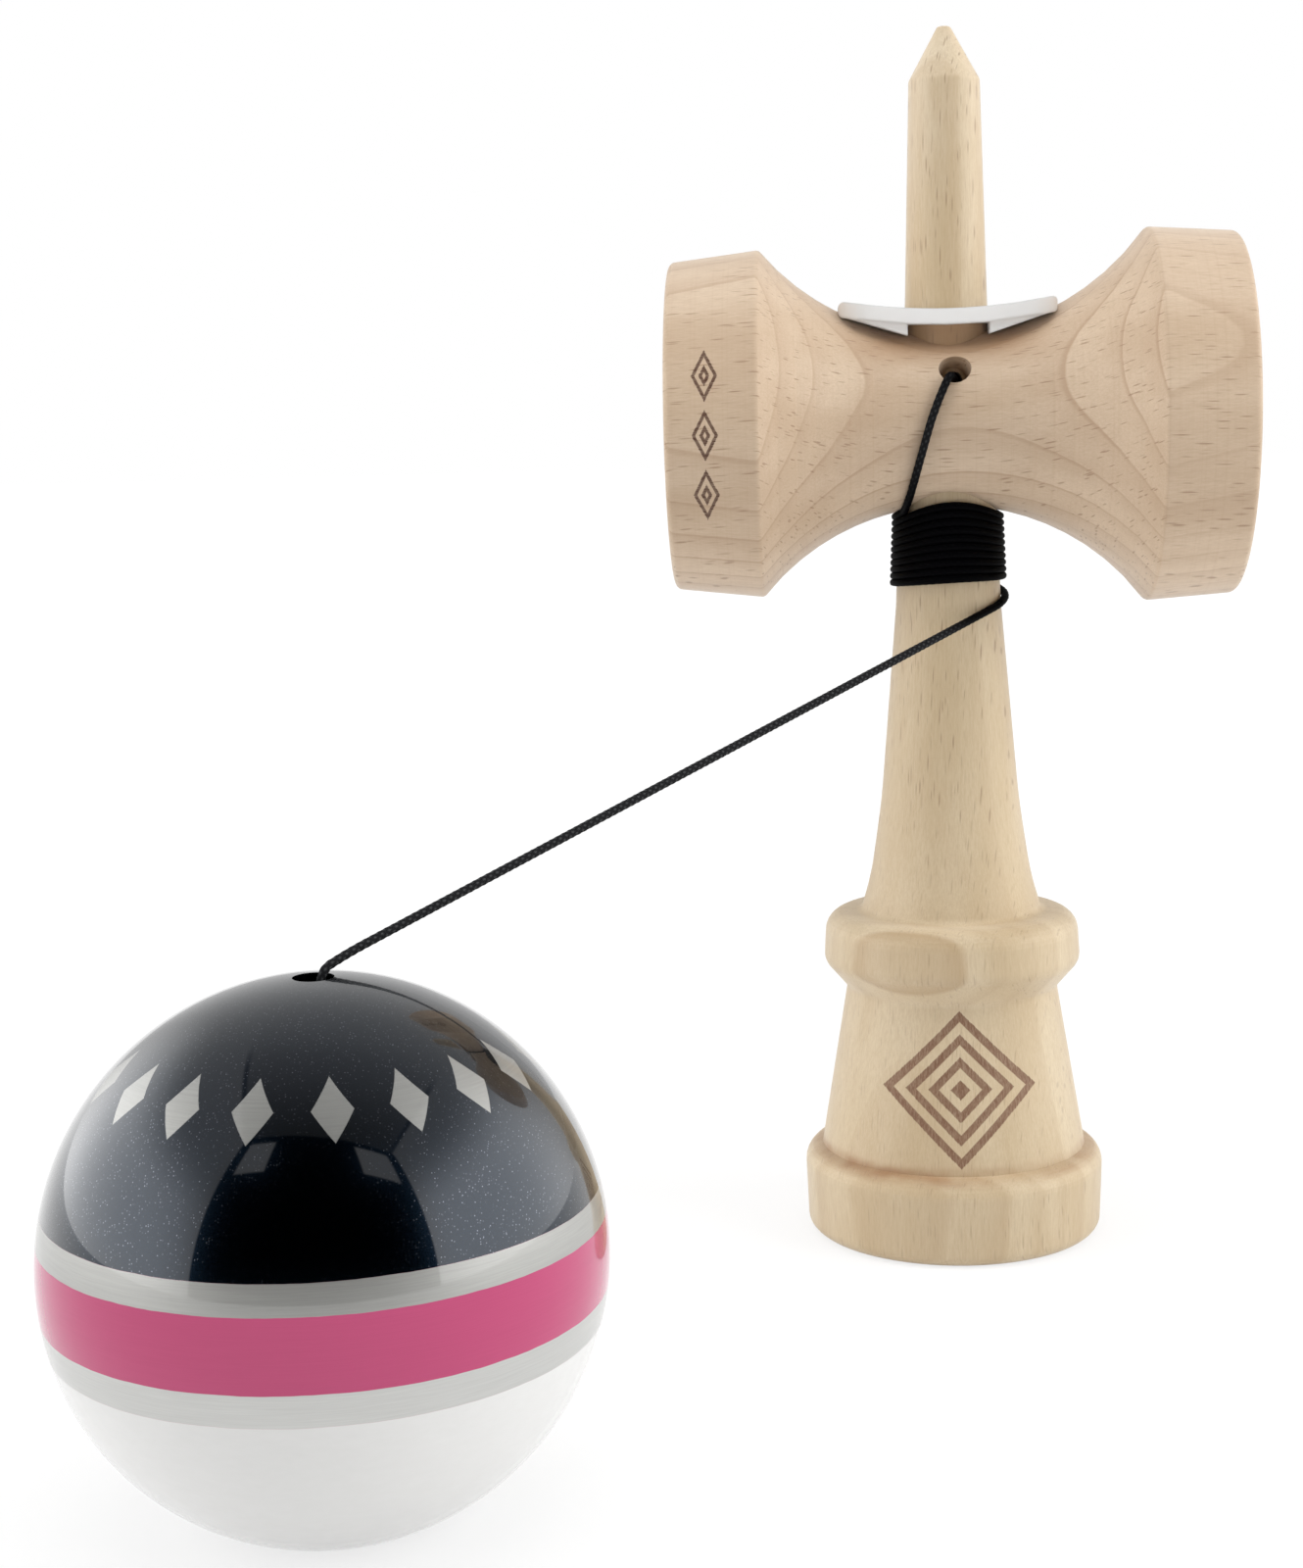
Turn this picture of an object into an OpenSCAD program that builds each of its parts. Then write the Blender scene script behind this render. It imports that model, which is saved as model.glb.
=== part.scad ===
// Cup-and-ball toy: a turned beech handle with a spike and three cups, and a painted ball on a string.
// It stands as it is stored: string wound round the neck, ball on the table in front.
// Origin at the middle of the base cup's rim, +Z up the handle, +X out of the big cup.

/* [Handle] */
// Height of the handle, from the base rim to the tip of the spike
ken_h = 165; // [150:1:185]
// Width of the blunt end of the spike
tip_d = 1.7; // [1:0.1:3]
// Length of the pointed end of the spike
tip_len = 7; // [5:0.5:12]
// Width of the spike below its point
spike_d = 9.5; // [8.5:0.1:10.4]
// Width of the stem where the barrel's taper seat ends
seat_top_d = 11.2; // [10.6:0.1:12]
// Width of the neck
neck_d = 14.4; // [13.4:0.1:15.4]
// Height of the neck above the base rim
neck_z = 88; // [84:0.5:92]
// Width of the grip where it starts to flare
grip_d = 19; // [17:0.1:21]
// Height where the grip starts to flare
grip_z = 61; // [57:0.5:65]
// Width of the flare half-way down to the collar
flare_d = 22.1; // [21.2:0.1:23.4]
// Height of that point of the flare
flare_z = 50.6; // [49.6:0.1:53]
// Width of the foot of the flare, on the collar
flare_foot_d = 25; // [23.8:0.1:27]
// Width of the collar
collar_d = 35.6; // [32:0.1:40]
// Height of the collar's upper face
collar_top_z = 45.6; // [44:0.1:47]
// Height of the collar's lower edge
collar_low_z = 38.6; // [37:0.1:40]
// Width of the groove under the collar
groove_d = 29.2; // [27:0.1:31]
// Height of that groove
groove_z = 34.9; // [32:0.1:36]
// Width of the base where it meets the flange
base_d = 36.8; // [33:0.1:38]
// Width of the flange round the base cup
flange_d = 41.8; // [39.5:0.1:46]
// Height of the flange
flange_h = 12.2; // [10:0.1:16]
// Width of the base cup's mouth
base_cup_d = 35; // [30:0.5:36]

/* [Barrel] */
// Height of the barrel's axis
barrel_z = 113.1; // [110:0.1:116]
// Width of the waist
waist_d = 23; // [21:0.1:26]
// Distance of the small cup's crease from the handle's axis
small_crease_x = 25.2; // [22:0.1:30]
// Width of the small cup at its crease
small_crease_d = 46.9; // [42:0.1:52]
// Distance of the small cup's rim from the handle's axis
small_rim_x = 37.3; // [35:0.1:42]
// Width of the small cup at its rim
small_rim_d = 44.2; // [41:0.1:48]
// Width of the small cup's mouth
small_cup_d = 40; // [34:0.5:40.6]
// Distance of the big cup's crease from the handle's axis
big_crease_x = 26.6; // [23:0.1:31]
// Width of the big cup at its crease
big_crease_d = 49.9; // [45:0.1:56]
// Distance of the big cup's rim from the handle's axis
big_rim_x = 38.4; // [36:0.1:43]
// Width of the big cup at its rim
big_rim_d = 48.2; // [46:0.1:53]
// Width of the big cup's mouth
big_cup_d = 44; // [38:0.5:44.6]
// Width of the sphere that hollows all three cups
cup_sphere_d = 52; // [47:0.5:60]
// Width of the string hole
string_hole_d = 4.3; // [3:0.1:5]
// Angle of the string hole, up from the barrel's front
string_hole_a = 36; // [32:0.5:38]
// Distance of the string hole from the middle of the waist
string_hole_x = 0.7; // [0:0.1:0.9]

/* [Clip] */
// Length of the clip across the barrel
clip_len = 29.2; // [26:0.1:33]
// Width of the clip, front to back
clip_w = 16; // [15:0.5:20]
// Thickness of the clip
clip_t = 2.1; // [1.4:0.1:2.6]
// Rise of the clip's ends above its middle
clip_rise = 1.4; // [0.8:0.1:2]
// Height of the clip's middle above the waist
clip_lift = 1.1; // [0.8:0.1:1.6]
// Distance between the clip's two feet
foot_gap = 10.8; // [9:0.1:13]
// Length of each foot
foot_len = 7.8; // [5:0.1:8]
// How far the feet stand back from the strip's front and rear edge
foot_inset = 0.5; // [0.2:0.1:1.2]
// How far the feet reach down over the round of the waist
foot_drop = 0.8; // [0.2:0.1:1]

/* [Ball] */
// Width of the ball
ball_d = 60; // [56:0.5:66]
// Width of the ball's hole
ball_bore_d = 20; // [17:0.5:24]
// Bevel round the mouth of that hole
ball_bevel = 1.2; // [0.6:0.1:2]
// Length of the hole's straight wall
ball_bore_len = 34.5; // [28:0.5:36]
// Width of the string hole through the ball's top
ball_string_hole_d = 4.4; // [3.8:0.1:5]
// Width of the bead that holds the string in the ball
bead_d = 6; // [5.4:0.1:7]

/* [String] */
// Thickness of the string
string_d = 0.9; // [0.6:0.05:1.1]
// Gap between two turns of the winding
wrap_gap = 0.5; // [0.42:0.02:0.6]
// Height at which the winding starts, under the barrel
wrap_top_z = 100; // [99:0.1:100.2]
// Height at which the string leaves the neck
leave_z = 87.9; // [87:0.1:89.5]
// Width of the knot behind the stem
anchor_knot_d = 3.2; // [2.8:0.1:3.4]
// Width of the knot under the bead
end_knot_d = 2.2; // [1.8:0.1:2.6]
// Width of the hole through the stem
stem_hole_d = 2.2; // [1.6:0.1:2.6]
// Width of the string's hole in the bead
bead_hole_d = 1.5; // [1.3:0.1:1.7]

/* [Fits] */
// Clearance round the stem in the barrel's taper seat
seat_clear = 0.03; // [0.02:0.01:0.08]
// Clearance between the clip and what it sits on
clip_clear = 0.15; // [0.1:0.05:0.3]
// Clearance between the string and the wood that it lies on
lay_clear = 0.15; // [0.1:0.05:0.25]
// Clearance between pieces that move past one another
run_clear = 0.3; // [0.2:0.05:0.4]
// Clearance round a knot in its pocket, and under the bead
knot_clear = 0.1; // [0.05:0.05:0.2]

/* [Hidden] */
$fn = 96;
BEECH = "burlywood";
CORD = "dimgray";

// Where the ball stands beside the handle
ball_at = [-70.3, -93.8];
// Corner radii of the turned profiles
base_lip_r = 0.5;
base_edge_r = 1.8;
flange_r = 0.55 * (flange_d - base_d);
groove_r = 1.2;
collar_low_r = 2.4;
collar_top_r = 2.8;
collar_foot_r = 1.2;
flare_r = 40;
grip_r = 100;
shoulder_r = 1.2;
tip_r = 0.5;
lip_r = 0.9;
crease_r = 0.8;
clip_corner_r = 4;
// The flange narrows a little towards the table
flange_draft = 0.4;
// The flange's upper face and the collar's side lean by this much
flange_fall = 0.6;
collar_lean = 0.4;
// Turns of the winding drawn, and where on the neck it starts
wrap_turns = 6;
wrap_start_a = 211;
// The last part of the winding hangs loose
loose_part = 0.08;
// Points of the lead on the waist: distance along the barrel, angle up from the front
lead_on_waist = [[-0.15, 28], [-0.95, 20], [-1.75, 11], [-2.55, 1], [-3.2, -9], [-3.85, -20], [-4.5, -32],
    [-5.05, -44], [-5.5, -55]];
// The lead lies a little further off the wood than the winding, and turns down in the hole's outer part
lead_off = 1.6;
lead_turn_part = 0.39;
// How far the stem's taper reaches above the barrel
seat_over = 2;
// Rounding of the clip's ends, as a part of its thickness
clip_end_part = 0.35;
// Before the ball the string dips in a wide arc to this slope, then bends over the lip of the hole
dip = 19;
dip_r = 60;
bend_part = 2;
lip_turn = 52;
lip_slack = 0.05;
// Length of the short stretch that swivels at the neck
turn_len = 8;
string_sides = 8;
wrap_sides = 6;
wrap_rings = 24;
arc_steps = 6;
bend_steps = 6;

string_r = string_d / 2;
ball_r = ball_d / 2;

// Small vector helpers
function unit(v) = v / norm(v);
function mix(a, b, t) = a + (b - a) * t;

// One corner of an outline, rounded by radius r
function corner(p, q, s, r) =
    r == 0 ? [q] :
    let (a = unit(p - q), b = unit(s - q), half = acos(a * b) / 2,
         c = q + unit(a + b) * r / sin(half),
         start = q + a * r / tan(half) - c, end = q + b * r / tan(half) - c,
         a0 = atan2(start.y, start.x), turn = (atan2(end.y, end.x) - a0 + 540) % 360 - 180)
    [for (i = [0:arc_steps]) c + r * [cos(a0 + turn * i / arc_steps), sin(a0 + turn * i / arc_steps)]];

// An outline of [x, y, corner radius] points, with its corners rounded
function rounded(o) = let (n = len(o), p = [for (q = o) [q.x, q.y]])
    [for (i = [0:n - 1]) each corner(p[(i + n - 1) % n], p[i], p[(i + 1) % n], o[i].z)];

// Outline points of a cup hollowed by the common sphere: depth below the mouth at radius r
function cup_depth(mouth_r, r) = let (s = cup_sphere_d / 2)
    sqrt(s * s - r * r) - sqrt(s * s - mouth_r * mouth_r);
function cup_radii(mouth_r) = [for (i = [0:9]) mouth_r * i / 10];

// Handle: radius of the stem between the neck and the top of the barrel's seat
seat_top_z = barrel_z + waist_d / 2 + seat_over;
function stem_r(z) = mix(neck_d, seat_top_d, (z - neck_z) / (seat_top_z - neck_z)) / 2;
// The stem's hole is level with the lower part of the barrel's string hole
hole_z = barrel_z + waist_d / 2 * sin(string_hole_a) - string_hole_d / 3;

ken_outline = concat(
    [for (r = cup_radii(base_cup_d / 2)) [r, cup_depth(base_cup_d / 2, r), 0]],
    [[base_cup_d / 2, 0, base_lip_r],
     [flange_d / 2 - flange_draft, 0, base_edge_r],
     [flange_d / 2, flange_h - flange_fall, flange_r],
     [base_d / 2, flange_h, 0],
     [groove_d / 2, groove_z, groove_r],
     [collar_d / 2, collar_low_z, collar_low_r],
     [collar_d / 2 - collar_lean, collar_top_z - collar_lean, collar_top_r],
     [flare_foot_d / 2, collar_top_z, collar_foot_r],
     [flare_d / 2, flare_z, flare_r],
     [grip_d / 2, grip_z, grip_r],
     [neck_d / 2, neck_z, 0],
     [seat_top_d / 2, seat_top_z, 0],
     [spike_d / 2, ken_h - tip_len, shoulder_r],
     [tip_d / 2, ken_h, tip_r],
     [0, ken_h, 0]]);

// The knot's pocket at the back of the stem, as deep as the knot
pocket_d = anchor_knot_d + 2 * knot_clear;
pocket_floor = stem_r(hole_z) - anchor_knot_d - 2 * knot_clear;

module ken() {
    color(BEECH) difference() {
        rotate_extrude() polygon(rounded(ken_outline));
        translate([string_hole_x, 0, hole_z]) rotate([90, 0, 0])
            cylinder(h = neck_d, d = stem_hole_d, center = true);
        translate([string_hole_x, pocket_floor, hole_z]) rotate([-90, 0, 0])
            cylinder(h = neck_d, d = pocket_d);
    }
}

// Barrel: each flank is one arc, level at the waist and running out through the crease
function flank_arc(x, d) = let (rise = (d - waist_d) / 2) (x * x + rise * rise) / (2 * rise);
small_arc = flank_arc(small_crease_x, small_crease_d);
big_arc = flank_arc(big_crease_x, big_crease_d);
function barrel_r(x) = let (a = x < 0 ? small_arc : big_arc) waist_d / 2 + a - sqrt(a * a - x * x);
flank_steps = 10;

barrel_outline = concat(
    [for (r = cup_radii(small_cup_d / 2)) [r, cup_depth(small_cup_d / 2, r) - small_rim_x, 0]],
    [[small_cup_d / 2, -small_rim_x, lip_r / 2],
     [small_rim_d / 2, -small_rim_x, lip_r],
     [small_crease_d / 2, -small_crease_x, crease_r]],
    [for (i = [1 - flank_steps:0]) let (x = i * small_crease_x / flank_steps) [barrel_r(x), x, 0]],
    [for (i = [1:flank_steps - 1]) let (x = i * big_crease_x / flank_steps) [barrel_r(x), x, 0]],
    [[big_crease_d / 2, big_crease_x, crease_r],
     [big_rim_d / 2, big_rim_x, lip_r],
     [big_cup_d / 2, big_rim_x, lip_r / 2]],
    [for (i = [9:-1:0]) let (r = big_cup_d / 2 * i / 10) [r, big_rim_x - cup_depth(big_cup_d / 2, r), 0]]);

// The tapered hole that the stem is pressed into, and everything the stem fills, with a clearance
module stem_space(clear) {
    z0 = neck_z;
    z1 = seat_top_z;
    translate([0, 0, z0]) cylinder(h = z1 - z0, r1 = stem_r(z0) + clear, r2 = stem_r(z1) + clear);
}

module barrel_body() {
    translate([0, 0, barrel_z]) rotate([0, 90, 0]) rotate_extrude() polygon(rounded(barrel_outline));
}

module barrel() {
    color(BEECH) difference() {
        barrel_body();
        stem_space(seat_clear);
        translate([string_hole_x, 0, barrel_z]) rotate([90 - string_hole_a, 0, 0])
            cylinder(h = waist_d, d = string_hole_d);
    }
}

// Clip: a strip arched over the barrel's waist, threaded on the spike, standing on two wedge feet
clip_arc = (clip_len * clip_len / 4 + clip_rise * clip_rise) / (2 * clip_rise);
clip_low_z = barrel_z + waist_d / 2 + clip_lift;
function clip_under(x) = clip_low_z + clip_arc - sqrt(clip_arc * clip_arc - x * x);
strip_steps = 8;
foot_in = foot_gap / 2;
foot_out = foot_in + foot_len;
foot_z = barrel_z + barrel_r(foot_in) + clip_clear - foot_drop;

// Half of the underside, from the middle out to the end: strip, foot, strip
clip_half = clip_len / 2;
clip_end_r = clip_t * clip_end_part;
clip_under_half = [[0, clip_low_z, 0], [foot_in, clip_under(foot_in), 0], [foot_in, foot_z, 0],
    [foot_out, clip_under(foot_out), 0], [clip_half, clip_under(clip_half), clip_end_r]];

module clip_outline() {
    polygon(rounded(concat(
        [for (i = [len(clip_under_half) - 1:-1:1]) let (q = clip_under_half[i]) [-q.x, q.y, q.z]],
        clip_under_half,
        [for (i = [strip_steps:-1:-strip_steps]) let (x = clip_half * i / strip_steps)
            [x, clip_under(x) + clip_t, abs(i) == strip_steps ? clip_end_r : 0]])));
}

// The space in front of and behind the feet, up to the straight underside above them
module foot_steps() {
    slope = (clip_under(foot_out) - clip_under(foot_in)) / foot_len;
    over = clip_t / 2;
    low = foot_z - over;
    inner = [foot_in - over, clip_under(foot_in) - slope * over];
    outer = [foot_out + over, clip_under(foot_out) + slope * over];
    for (sx = [0, 1], sy = [-1, 1])
        translate([0, sy * clip_w / 2, 0]) mirror([sx, 0, 0]) rotate([90, 0, 0])
            linear_extrude(2 * foot_inset, center = true)
                polygon([inner, outer, [outer.x, low], [inner.x, low]]);
}

module clip_plan() {
    rounding = 2 * clip_corner_r;
    for (sx = [-1, 1], sy = [-1, 1])
        translate([sx * (clip_len - rounding) / 2, sy * (clip_w - rounding) / 2])
            circle(d = rounding);
    square([clip_len, clip_w - rounding], center = true);
    square([clip_len - rounding, clip_w], center = true);
}

module spike_clip() {
    spike_top = ken_h - tip_len;
    color("white") difference() {
        intersection() {
            rotate([90, 0, 0]) linear_extrude(clip_w, center = true) clip_outline();
            translate([0, 0, barrel_z]) linear_extrude(waist_d) clip_plan();
        }
        foot_steps();
        stem_space(clip_clear);
        translate([0, 0, seat_top_z])
            cylinder(h = spike_top - seat_top_z,
                d1 = seat_top_d + 2 * clip_clear, d2 = spike_d + 2 * clip_clear);
        translate([0, 0, barrel_z]) rotate([0, 90, 0]) rotate_extrude()
            polygon(concat([[0, -small_crease_x]],
                [for (i = [-flank_steps:flank_steps])
                    let (x = i / flank_steps * (i < 0 ? small_crease_x : big_crease_x))
                    [barrel_r(x) + clip_clear, x]],
                [[0, big_crease_x]]));
    }
}

// A round tube swept along a list of points, as triangles: each ring turns with the path
function path_dirs(p) = let (n = len(p) - 1)
    [for (i = [0:n]) unit(p[min(i + 1, n)] - p[max(i - 1, 0)])];
function across(t, v) = unit(v - t * (t * v));
function path_sides(t) = [for (i = 0, v = across(t[0], [0.36, 0.48, 0.8]); i < len(t);
    i = i + 1, v = across(t[min(i, len(t) - 1)], v)) v];

module tube(p, r, sides) {
    t = path_dirs(p);
    v = path_sides(t);
    n = len(p) - 1;
    rings = [for (i = [0:n], k = [0:sides - 1])
        let (a = 360 * k / sides) p[i] + r * (cos(a) * v[i] + sin(a) * cross(t[i], v[i]))];
    skin = [for (i = [0:n - 1], k = [0:sides - 1])
        let (a = i * sides, b = a + sides, m = (k + 1) % sides)
        each [[a + k, b + k, b + m], [a + k, b + m, a + m]]];
    last = n * sides;
    ends = [for (k = [1:sides - 2]) each [[0, k, k + 1], [last, last + k + 1, last + k]]];
    polyhedron(rings, concat(skin, ends));
}

// Points of a smooth curve through chosen points, with k steps to each stretch
function curve(p, k) = let (n = len(p) - 1)
    concat([for (i = [0:n - 1], j = [0:k - 1])
        let (t = j / k, a = p[max(i - 1, 0)], b = p[i], c = p[i + 1], d = p[min(i + 2, n)])
        (2 * b + (c - a) * t + (2 * a - 5 * b + 4 * c - d) * t * t
            + (3 * b - a - 3 * c + d) * t * t * t) / 2], [p[n]]);

// Points spaced evenly on a straight run, a ring every two and a half diameters
function run(a, b) = let (n = max(1, ceil(norm(b - a) / (2.5 * string_d))))
    [for (i = [0:n]) mix(a, b, i / n)];

// Ball: stands on the bevelled rim of its hole, string hole upwards
rim_r = ball_bore_d / 2 + ball_bevel;
ball_z = sqrt(ball_r * ball_r - rim_r * rim_r);
ball_c = [ball_at.x, ball_at.y, ball_z];
bore_top = ball_bevel + ball_bore_len;
cone_h = (ball_bore_d - ball_string_hole_d) / 2;
// The bead rests in the end of the hole, which closes at 45 degrees
bead_z = bore_top + ball_bore_d / 2 - (bead_d / 2 + run_clear) * sqrt(2);
end_knot_z = bead_z - bead_d / 2 - knot_clear - end_knot_d / 2;

module ball() {
    color("firebrick") translate([ball_c.x, ball_c.y, 0]) difference() {
        translate([0, 0, ball_z]) sphere(d = ball_d);
        rotate_extrude() polygon([[0, -ball_r], [rim_r + ball_r, -ball_r], [ball_bore_d / 2, ball_bevel],
            [ball_bore_d / 2, bore_top], [ball_string_hole_d / 2, bore_top + cone_h],
            [0, bore_top + cone_h]]);
        translate([0, 0, bore_top]) cylinder(h = ball_d, d = ball_string_hole_d);
    }
}

module ball_bead() {
    color("ivory") translate([ball_c.x, ball_c.y, bead_z]) difference() {
        sphere(d = bead_d);
        cylinder(h = 2 * bead_d, d = bead_hole_d, center = true);
    }
}

module end_knot() {
    color(CORD) translate([ball_c.x, ball_c.y, end_knot_z]) sphere(d = end_knot_d);
}

module anchor_knot() {
    color(CORD) translate([string_hole_x, pocket_floor + anchor_knot_d / 2 + knot_clear / 2, hole_z])
        sphere(d = anchor_knot_d);
}

// The string leaves the neck where a straight line from the ball's hole touches the winding
coil_r = stem_r(leave_z) + string_r + lay_clear;
ball_far = norm(ball_at);
leave_a = atan2(ball_at.y, ball_at.x) + acos(coil_r / ball_far);
leave_at = [coil_r * cos(leave_a), coil_r * sin(leave_a), leave_z];
out = unit([ball_at.x - leave_at.x, ball_at.y - leave_at.y, 0]);
hole_s = norm([ball_at.x - leave_at.x, ball_at.y - leave_at.y]);
// Points in the upright plane of the free string: distance from the neck, height
function in_plane(s, z) = [leave_at.x, leave_at.y, 0] + s * out + [0, 0, z];
// It bends over the near lip of the ball's string hole: centre of that bend, then of the wide arc before it
lip_s = hole_s - ball_string_hole_d / 2;
lip_z = ball_z + sqrt(ball_r * ball_r - ball_string_hole_d * ball_string_hole_d / 4);
bend_r = bend_part * string_d;
bend_c = [lip_s, lip_z] - (bend_r - string_r - run_clear - lip_slack) * [cos(lip_turn), sin(lip_turn)];
dip_c = bend_c - (dip_r - bend_r) * [sin(dip), cos(dip)];
// The straight stretch touches the wide arc from above
dip_far = dip_c - [0, leave_z];
fall = -atan2(dip_far.y, dip_far.x) - asin(dip_r / norm(dip_far));
heading = cos(fall) * out - [0, 0, sin(fall)];
function arc_point(c, r, a) = let (q = c + r * [sin(a), cos(a)]) in_plane(q.x, q.y);
turn_start = leave_at + heading * (string_d + run_clear);
turn_end = turn_start + heading * turn_len;
span_start = turn_end + heading * run_clear;
mouth = arc_point(bend_c, bend_r, 90);

// Winding: clockwise from above on the way down, on the tapered neck
wrap_total = wrap_start_a - leave_a + 360 * wrap_turns;
pitch = string_d + wrap_gap;
wrap_fall = pitch * wrap_total / 360;
loose_fall = wrap_top_z - wrap_fall - leave_z;
wrap_steps = round(wrap_total / 360 * wrap_rings);
function wrap_point(t) = let (loose = max(0, (t - 1 + loose_part) / loose_part),
    z = wrap_top_z - wrap_fall * t - loose_fall * loose * loose,
    a = wrap_start_a - wrap_total * t, r = stem_r(z) + string_r + lay_clear) [r * cos(a), r * sin(a), z];
wrap_turnings = [for (i = [0:wrap_steps]) wrap_point(i / wrap_steps)];
wrap_in = unit(wrap_turnings[1] - wrap_turnings[0]);
wrap_path = concat([wrap_turnings[0] - wrap_in * string_d], wrap_turnings, [leave_at + heading * string_d]);
half_turn = wrap_rings / 2 + 1;
wrap_least = min([for (i = [0:wrap_steps - half_turn], j = [i + half_turn:wrap_steps])
    norm(wrap_turnings[i] - wrap_turnings[j])]) - string_d;
echo(least_gap_of_the_winding = wrap_least);

// Lead: out of the stem, through the barrel's hole, down the waist to the winding
function on_waist(q) = let (r = barrel_r(q[0]) + string_r + lead_off * lay_clear)
    [q[0], -r * cos(q[1]), barrel_z + r * sin(q[1])];
lead_start = [string_hole_x, pocket_floor + knot_clear / 2 - run_clear / 2, hole_z];
lead_end = wrap_turnings[0] - wrap_in * (string_d + lay_clear);
lead_turn = [string_hole_x / 2, -lead_turn_part * waist_d, hole_z + string_hole_x / 2];
lead_path = concat(curve(concat([lead_start, [string_hole_x, -stem_r(hole_z), hole_z], lead_turn],
    [for (q = lead_on_waist) on_waist(q)], [lead_end - wrap_in * string_d]), 2), [lead_end]);

module string_lead() {
    color(CORD) tube(lead_path, string_r, string_sides);
}

module string_wrap() {
    color(CORD) tube(wrap_path, string_r, wrap_sides);
}

module string_turn() {
    color(CORD) tube(run(turn_start, turn_end), string_r, string_sides);
}

module string_span() {
    wide = [for (i = [1:bend_steps - 1]) arc_point(dip_c, dip_r, mix(fall, dip, i / bend_steps))];
    over = [for (i = [0:bend_steps]) arc_point(bend_c, bend_r, mix(dip, 90, i / bend_steps))];
    straight = run(span_start, arc_point(dip_c, dip_r, fall));
    color(CORD) tube(concat(straight, wide, over), string_r, string_sides);
}

module string_drop() {
    top = mouth - [0, 0, run_clear];
    side = ball_c + [0, 0, -ball_z];
    low = bead_z + bead_d / 2;
    down = curve([top, top - [0, 0, 3], side + [0, 0, low + 3], side + [0, 0, low + 1]], 3);
    knot_top = end_knot_z + end_knot_d / 2 + knot_clear / 2;
    color(CORD) tube(concat(down, run(side + [0, 0, low], side + [0, 0, knot_top])), string_r, string_sides);
}

// Pivots of the joints: each lies on the inner edge of the bend it makes
side_dir = cross([0, 0, 1], out);
echo(string_swing = (turn_start - heading * run_clear / 2) + side_dir * string_r);
echo(string_lift = turn_end + heading * run_clear / 2 + cross(heading, side_dir) * string_r,
    axis = -side_dir);
echo(ball_tilt = mouth - [0, 0, run_clear / 2] + out * string_r, axis = -side_dir);
echo(ball_spin = ball_c, leave_a = leave_a, out = out, bore_top = bore_top, bead_z = bead_z);

ken();
barrel();
spike_clip();
anchor_knot();
string_lead();
string_wrap();
string_turn();
string_span();
string_drop();
ball_bead();
end_knot();
ball();
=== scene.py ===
import bpy
import bmesh
import math
from mathutils import Matrix, Vector


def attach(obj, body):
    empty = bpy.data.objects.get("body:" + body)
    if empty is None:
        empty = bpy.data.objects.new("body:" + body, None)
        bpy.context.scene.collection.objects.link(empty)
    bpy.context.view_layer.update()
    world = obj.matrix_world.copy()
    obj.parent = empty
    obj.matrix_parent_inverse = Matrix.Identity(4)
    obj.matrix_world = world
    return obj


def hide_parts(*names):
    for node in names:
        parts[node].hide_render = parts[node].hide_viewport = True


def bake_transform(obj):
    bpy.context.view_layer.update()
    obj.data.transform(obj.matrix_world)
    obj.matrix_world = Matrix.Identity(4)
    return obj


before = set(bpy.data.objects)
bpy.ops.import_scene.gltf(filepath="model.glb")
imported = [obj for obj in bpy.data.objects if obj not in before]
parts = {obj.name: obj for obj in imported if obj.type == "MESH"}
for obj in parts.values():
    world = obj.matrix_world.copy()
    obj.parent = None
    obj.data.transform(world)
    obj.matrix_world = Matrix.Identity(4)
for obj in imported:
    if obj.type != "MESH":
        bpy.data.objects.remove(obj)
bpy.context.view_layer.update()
scene = bpy.context.scene
MM = 0.001

# Camera at the photograph's place

def make_camera():
    data = bpy.data.cameras.new("photo_camera")
    data.lens, data.sensor_width = 56.25, 36
    data.clip_start, data.clip_end = 0.01, 20
    forward = Vector((-0.0747, 0.9866, -0.1449)).normalized()
    right = forward.cross(Vector((0.0153, 0.1464, 0.9891))).normalized()
    place = Matrix((right, right.cross(forward), -forward)).transposed().to_4x4()
    place.translation = Vector((-15.95, -339.36, 113.53)) * MM
    camera = bpy.data.objects.new("photo_camera", data)
    camera.matrix_world = place
    scene.collection.objects.link(camera)
    scene.camera = camera


make_camera()

# String: the route, in millimetres, from the knot in the stem to the knot under the bead

STRING_D = 0.9
STRING_R = STRING_D / 2
NECK_Z, NECK_D = 88.0, 14.4
SEAT_TOP_Z, SEAT_TOP_D = 126.6, 11.2
BARREL_Z, WAIST_D = 113.1, 23.0
# Where the waist ends towards each cup: distance from the middle, and width
SMALL_CREASE, BIG_CREASE = (25.2, 46.9), (26.6, 49.9)
STRING_HOLE_X, STRING_HOLE_Z = 0.7, 118.426
# Along the string hole: the end at the knot in the stem, the knot's middle and size, and the bend before
# the mouth
STEM_END_Y, STEM_KNOT_Y, STEM_KNOT_D, HOLE_BEND_Y = 2.44, 4.189, 3.2, -0.39 * WAIST_D
LEAVE_Z, LEAVE_CLEAR = 87.9, 0.15
BALL_AT = (-70.3, -93.8)
BALL_R, BALL_Z = 30.0, 27.831
BALL_HOLE_R = 2.2
BEAD_Z, BEAD_R = 41.033, 3.0
END_KNOT_TOP, END_KNOT_Z, END_KNOT_D = 36.9, 36.833, 2.2
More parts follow.
